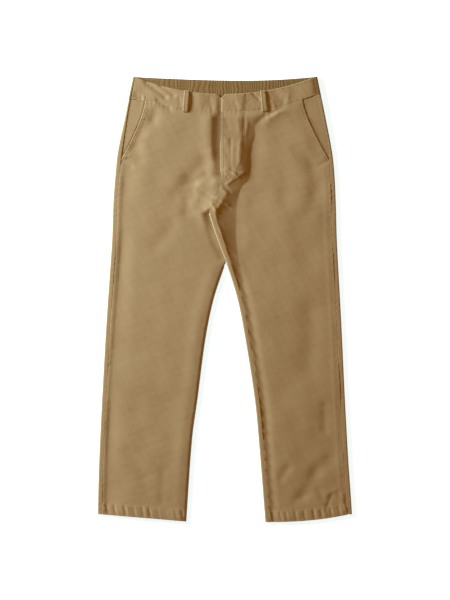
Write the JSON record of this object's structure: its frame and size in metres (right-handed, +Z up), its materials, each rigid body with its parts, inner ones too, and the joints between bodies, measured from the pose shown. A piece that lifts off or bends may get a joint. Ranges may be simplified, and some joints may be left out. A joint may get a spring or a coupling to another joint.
{
  "type": "chino trousers laid flat",
  "caption": "Straight-leg cotton chinos lying flat, front up, with slanted side pockets, a fly, belt loops and an elasticated back waistband.",
  "frame": {"origin": "on the surface that the trousers lie on, under the middle of the box round them", "axes": "+Z up from the surface, out of the front of the trousers; +Y towards the waist; +X towards the wearer's left"},
  "size_m": [0.611, 1.07, 0.0133],
  "materials": {
    "twill": "matte khaki cotton twill",
    "twill_inside": "matte khaki cotton twill, inner face of the gathered waistband"
  },
  "bodies": {
    "root": {"front_right": "twill", "front_left": "twill", "back_right": "twill", "back_left": "twill", "waistband_back": "twill_inside", "waistband_front_right": "twill", "waistband_front_left": "twill", "fly_facing": "twill", "fly_shield": "twill", "pocket_facing_right": "twill", "pocket_facing_left": "twill", "belt_loop_front_right": "twill", "belt_loop_front_left": "twill", "belt_loop_back_right": "twill", "belt_loop_back_middle": "twill", "belt_loop_back_left": "twill"}
  },
  "joints": []
}
